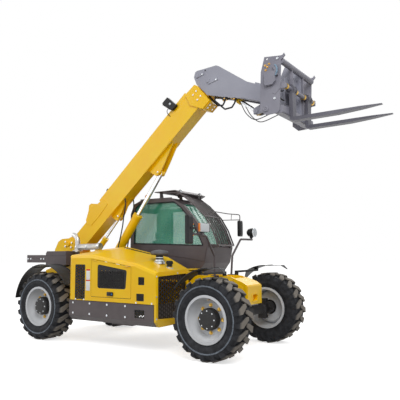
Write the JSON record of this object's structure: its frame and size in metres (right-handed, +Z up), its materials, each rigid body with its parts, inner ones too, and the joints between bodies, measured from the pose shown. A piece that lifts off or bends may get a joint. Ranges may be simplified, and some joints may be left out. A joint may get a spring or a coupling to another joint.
{
  "type": "telehandler",
  "caption": "Four-wheel-steer telehandler with a side cab, telescopic boom raised, fork carriage, and hinged doors.",
  "frame": {"origin": "on the ground, at the centre of the machine's overall length and width", "axes": "+X towards the forks, +Y to the driver's left, +Z up"},
  "size_m": [6.709, 2.224, 4.512],
  "materials": {
    "yellow_paint": "gloss yellow paint",
    "dark_grey_paint": "satin dark grey paint",
    "light_grey_paint": "satin grey paint",
    "mid_grey_paint": "satin grey paint",
    "fork_black_paint": "satin dark grey paint on forged steel",
    "axle_paint": "matt dark grey paint",
    "wheel_paint": "silver-white gloss paint",
    "tyre_rubber": "black rubber",
    "engine_iron": "painted cast iron",
    "grille_black": "matt black mesh",
    "black_plastic": "black moulded plastic",
    "exhaust_steel": "corrugated stainless tube",
    "chromed_rod": "hard chrome",
    "cab_glass": "green tinted safety glass",
    "amber_lens": "amber lens",
    "lamp_black": "black lamp housing",
    "hose_rubber": "black hose rubber",
    "seat_cloth": "woven seat fabric"
  },
  "bodies": {
    "chassis": {"chassis_frame": "yellow_paint", "tow_jaw": "dark_grey_paint", "top_grille": "grille_black", "front_nose": "yellow_paint", "rear_box": "dark_grey_paint", "engine_block": "engine_iron", "engine_cover": "yellow_paint", "front_cover": "yellow_paint", "side_skirt": "dark_grey_paint", "cover_grilles": "grille_black", "front_screen": "grille_black", "exhaust": "exhaust_steel", "pre_cleaner": "black_plastic", "front_fenders": "black_plastic", "rear_fenders": "black_plastic", "mirror_posts": "dark_grey_paint", "headlamps": "lamp_black", "mirrors": "black_plastic", "cab_frame": "dark_grey_paint", "cab_glass": "cab_glass", "roof_guard": "dark_grey_paint", "beacon": "amber_lens", "seat": "seat_cloth", "steering_wheel": "black_plastic", "cab_floor": "black_plastic", "front_axle_beam": "axle_paint", "rear_axle_beam": "axle_paint"},
    "engine_door": {"engine_door": "yellow_paint", "door_mesh": "grille_black"},
    "cab_door": {"cab_door": "dark_grey_paint", "cab_door_glass": "cab_glass"},
    "boom": {"boom_outer": "yellow_paint", "boom_lamp": "lamp_black", "cylinder_lugs": "yellow_paint"},
    "inner_boom": {"boom_inner": "yellow_paint", "boom_head": "light_grey_paint", "head_hoses": "hose_rubber"},
    "carriage": {"hitch_frame": "light_grey_paint", "fork_frame": "mid_grey_paint", "forks": "fork_black_paint"},
    "lift_barrel": {"lift_barrel": "yellow_paint"},
    "lift_rod": {"lift_rod": "chromed_rod"},
    "comp_barrel": {"comp_barrel": "yellow_paint"},
    "comp_rod": {"comp_rod": "chromed_rod"},
    "tilt_barrel": {"tilt_barrel": "yellow_paint"},
    "tilt_rod": {"tilt_rod": "chromed_rod"},
    "rear_right_knuckle": {"rear_right_knuckle": "axle_paint"},
    "rear_right_wheel": {"rear_right_rim": "wheel_paint", "rear_right_tyre": "tyre_rubber"},
    "rear_left_knuckle": {"rear_left_knuckle": "axle_paint"},
    "rear_left_wheel": {"rear_left_rim": "wheel_paint", "rear_left_tyre": "tyre_rubber"},
    "front_right_knuckle": {"front_right_knuckle": "axle_paint"},
    "front_right_wheel": {"front_right_rim": "wheel_paint", "front_right_tyre": "tyre_rubber"},
    "front_left_knuckle": {"front_left_knuckle": "axle_paint"},
    "front_left_wheel": {"front_left_rim": "wheel_paint", "front_left_tyre": "tyre_rubber"}
  },
  "joints": [
    {"name": "boom_lift", "type": "hinge", "parent": "chassis", "child": "boom", "pos_m": [-2.61, 0, 1.655], "axis": [0, -1, 0], "range_deg": [-40, 27]},
    {"name": "boom_extend", "type": "slide", "parent": "boom", "child": "inner_boom", "axis": [0.7567, 0, 0.6538], "range_m": [0, 2.6]},
    {"name": "carriage_tilt", "type": "hinge", "parent": "inner_boom", "child": "carriage", "pos_m": [1.865, 0, 3.8], "axis": [0, -1, 0], "range_deg": [-30, 55]},
    {"name": "lift_barrel_swing", "type": "hinge", "parent": "chassis", "child": "lift_barrel", "pos_m": [-2.095, 0, 0.7], "axis": [0, -1, 0], "range_deg": [-35, 24]},
    {"name": "lift_rod_slide", "type": "slide", "parent": "lift_barrel", "child": "lift_rod", "axis": [0.5948, 0, 0.8039], "range_m": [-0.7, 0.48]},
    {"name": "comp_barrel_swing", "type": "hinge", "parent": "chassis", "child": "comp_barrel", "pos_m": [-2.435, 0, 1.06], "axis": [0, -1, 0], "range_deg": [-33, 22]},
    {"name": "comp_rod_slide", "type": "slide", "parent": "comp_barrel", "child": "comp_rod", "axis": [0.6745, 0, 0.7383], "range_m": [-0.4, 0.28]},
    {"name": "tilt_barrel_swing", "type": "hinge", "parent": "inner_boom", "child": "tilt_barrel", "pos_m": [0.567, 0, 4.282], "axis": [0, -1, 0], "range_deg": [-8, 5]},
    {"name": "tilt_rod_slide", "type": "slide", "parent": "tilt_barrel", "child": "tilt_rod", "axis": [0.8001, 0, -0.5998], "range_m": [-0.21, 0.37]},
    {"name": "cab_door_hinge", "type": "hinge", "parent": "chassis", "child": "cab_door", "pos_m": [-1.091, 1.058, 1.505], "axis": [0, 0, 1], "range_deg": [0, 110]},
    {"name": "engine_door_hinge", "type": "hinge", "parent": "chassis", "child": "engine_door", "pos_m": [-1.085, -1.068, 1.372], "axis": [-0.9907, 0, 0.1357], "range_deg": [0, 85]},
    {"name": "rear_right_steer", "type": "hinge", "parent": "chassis", "child": "rear_right_knuckle", "pos_m": [-2.335, -0.7, 0.57], "axis": [0, 0, 1], "range_deg": [-30, 30]},
    {"name": "rear_right_spin", "type": "hinge", "parent": "rear_right_knuckle", "child": "rear_right_wheel", "pos_m": [-2.335, -0.907, 0.57], "axis": [0, 1, 0], "continuous": true},
    {"name": "rear_left_steer", "type": "hinge", "parent": "chassis", "child": "rear_left_knuckle", "pos_m": [-2.335, 0.7, 0.57], "axis": [0, 0, 1], "range_deg": [-30, 30]},
    {"name": "rear_left_spin", "type": "hinge", "parent": "rear_left_knuckle", "child": "rear_left_wheel", "pos_m": [-2.335, 0.907, 0.57], "axis": [0, 1, 0], "continuous": true},
    {"name": "front_right_steer", "type": "hinge", "parent": "chassis", "child": "front_right_knuckle", "pos_m": [1.115, -0.7, 0.57], "axis": [0, 0, 1], "range_deg": [-30, 30]},
    {"name": "front_right_spin", "type": "hinge", "parent": "front_right_knuckle", "child": "front_right_wheel", "pos_m": [1.115, -0.907, 0.57], "axis": [0, 1, 0], "continuous": true},
    {"name": "front_left_steer", "type": "hinge", "parent": "chassis", "child": "front_left_knuckle", "pos_m": [1.115, 0.7, 0.57], "axis": [0, 0, 1], "range_deg": [-30, 30]},
    {"name": "front_left_spin", "type": "hinge", "parent": "front_left_knuckle", "child": "front_left_wheel", "pos_m": [1.115, 0.907, 0.57], "axis": [0, 1, 0], "continuous": true}
  ],
  "couplings": [
    {"joint": "lift_barrel_swing", "follows": "boom_lift", "ratio": 0.86},
    {"joint": "lift_rod_slide", "follows": "boom_lift", "m_per_rad": 0.9855},
    {"joint": "comp_barrel_swing", "follows": "boom_lift", "ratio": 0.8},
    {"joint": "comp_rod_slide", "follows": "boom_lift", "m_per_rad": 0.55},
    {"joint": "tilt_barrel_swing", "follows": "carriage_tilt", "ratio": -0.12},
    {"joint": "tilt_rod_slide", "follows": "carriage_tilt", "m_per_rad": 0.3667},
    {"joint": "front_right_steer", "follows": "front_left_steer", "ratio": 1},
    {"joint": "rear_right_steer", "follows": "rear_left_steer", "ratio": 1}
  ]
}
